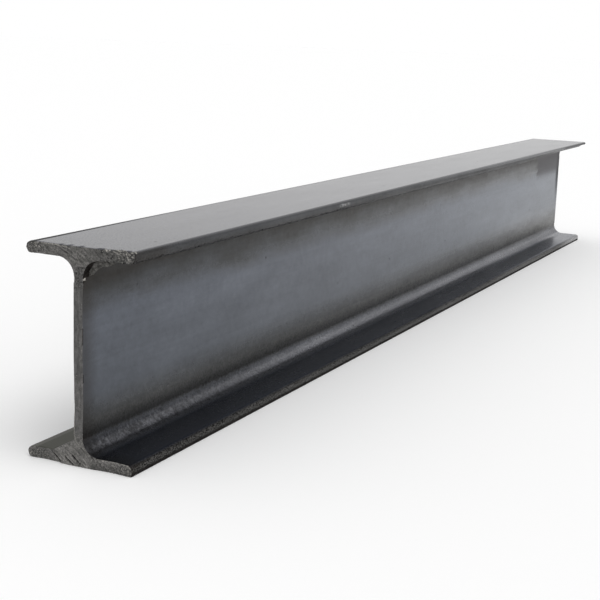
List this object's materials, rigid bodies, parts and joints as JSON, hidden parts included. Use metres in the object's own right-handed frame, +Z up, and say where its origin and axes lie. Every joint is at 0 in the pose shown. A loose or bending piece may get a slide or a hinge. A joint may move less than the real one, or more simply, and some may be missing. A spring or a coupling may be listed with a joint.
{
  "type": "steel i-beam",
  "caption": "Short length of light hot-rolled steel I-beam with parallel flanges, root fillets and rough torch-cut ends.",
  "frame": {"origin": "centre of the bottom flange's underside, halfway along the beam", "axes": "+X along the beam, away from the end with the slag; +Y across the flanges; +Z up, from the bottom flange to the top flange"},
  "size_m": [0.84, 0.056, 0.1],
  "materials": {
    "hot_rolled_steel": "hot-rolled, with a smooth blue-grey mill scale"
  },
  "bodies": {
    "root": {"i_beam": "hot_rolled_steel"}
  },
  "joints": []
}
